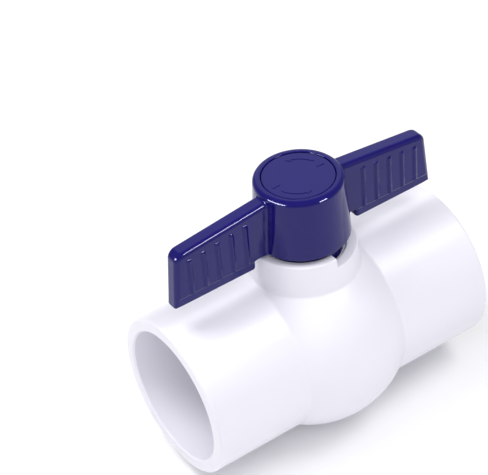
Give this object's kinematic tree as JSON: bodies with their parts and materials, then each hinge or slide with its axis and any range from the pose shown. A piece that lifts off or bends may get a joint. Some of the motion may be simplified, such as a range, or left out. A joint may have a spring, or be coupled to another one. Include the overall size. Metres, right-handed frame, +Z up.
{
  "type": "ball valve",
  "caption": "Compact plastic ball valve with slip pipe sockets, a round belly and a quarter-turn T-handle.",
  "frame": {"origin": "centre of the ball, on the axis of the pipe and on the axis of the stem", "axes": "+X along the pipe towards the outlet, +Z up the stem towards the handle, with the valve open and its handle parallel to the pipe"},
  "size_m": [0.1438, 0.0886, 0.1275],
  "materials": {
    "white_pvc": "injection moulded, soft gloss",
    "carrier_pvc": "moulded",
    "ball_pvc": "turned and polished",
    "stem_pvc": "moulded",
    "navy_abs": "injection moulded, glossy",
    "seat_ptfe": "waxy",
    "seal_epdm": "moulded",
    "screw_steel": "stainless, as formed"
  },
  "bodies": {
    "valve_body": {"valve_body": "white_pvc", "seat_carrier_inlet": "carrier_pvc", "seat_carrier_outlet": "carrier_pvc", "ball_seat_inlet": "seat_ptfe", "ball_seat_outlet": "seat_ptfe", "seat_backing_ring_inlet": "seal_epdm", "seat_backing_ring_outlet": "seal_epdm", "stem_thrust_washer": "seat_ptfe"},
    "handle": {"handle": "navy_abs", "handle_cap": "navy_abs", "handle_screw": "screw_steel", "handle_screw_washer": "screw_steel", "stem": "stem_pvc", "stem_o_ring_lower": "seal_epdm", "stem_o_ring_upper": "seal_epdm"},
    "ball": {"ball": "ball_pvc"}
  },
  "joints": [
    {"name": "handle_turn", "type": "hinge", "parent": "valve_body", "child": "handle", "pos_m": [0, 0, 0.06], "axis": [0, 0, -1], "range_deg": [0, 90]},
    {"name": "ball_turn", "type": "hinge", "parent": "valve_body", "child": "ball", "pos_m": [0, 0, 0], "axis": [0, 0, -1], "range_deg": [0, 90]}
  ],
  "couplings": [
    {"joint": "ball_turn", "follows": "handle_turn", "ratio": 1}
  ]
}
